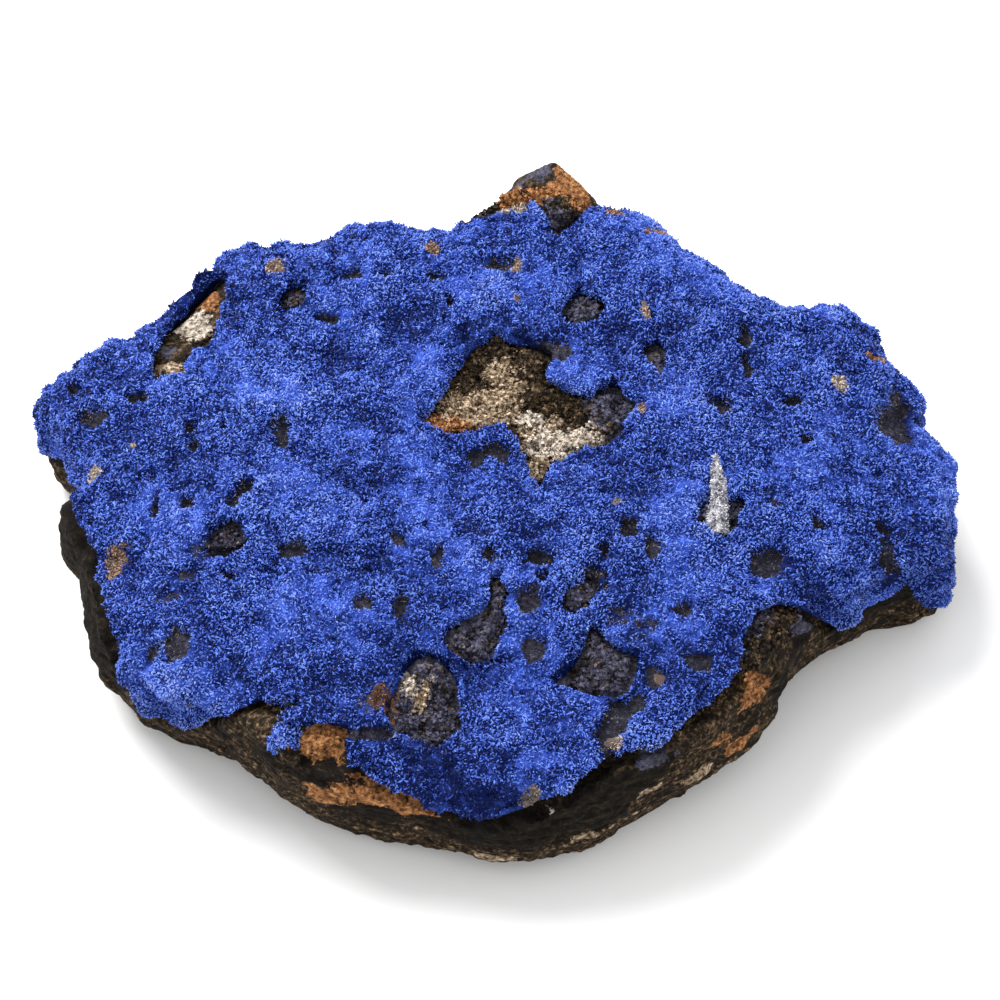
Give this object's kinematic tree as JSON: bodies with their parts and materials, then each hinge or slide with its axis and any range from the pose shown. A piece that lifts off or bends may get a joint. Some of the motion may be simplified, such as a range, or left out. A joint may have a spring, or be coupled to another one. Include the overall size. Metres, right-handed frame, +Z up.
{
  "type": "azurite specimen",
  "caption": "Slab of dark iron-stained host rock with a velvety blue azurite crust over its upper face, resting on a flat cut underside.",
  "frame": {"origin": "middle of the overall plan outline, on the flat underside that the slab rests on", "axes": "+Z up through the azurite face, +X along the longest side of the slab, +Y towards the bare knob on the back rim"},
  "size_m": [0.0856, 0.0684, 0.0181],
  "materials": {
    "host_rock": "rough broken rock, near-black brown with tan speckle and orange iron stains",
    "azurite": "velvety micro-crystals, royal blue with small bright facets",
    "pale_mineral": "fibrous satin, pale grey"
  },
  "bodies": {
    "root": {"matrix_rock": "host_rock", "azurite_crust": "azurite", "azurite_patch": "azurite", "pale_needle": "pale_mineral"}
  },
  "joints": []
}
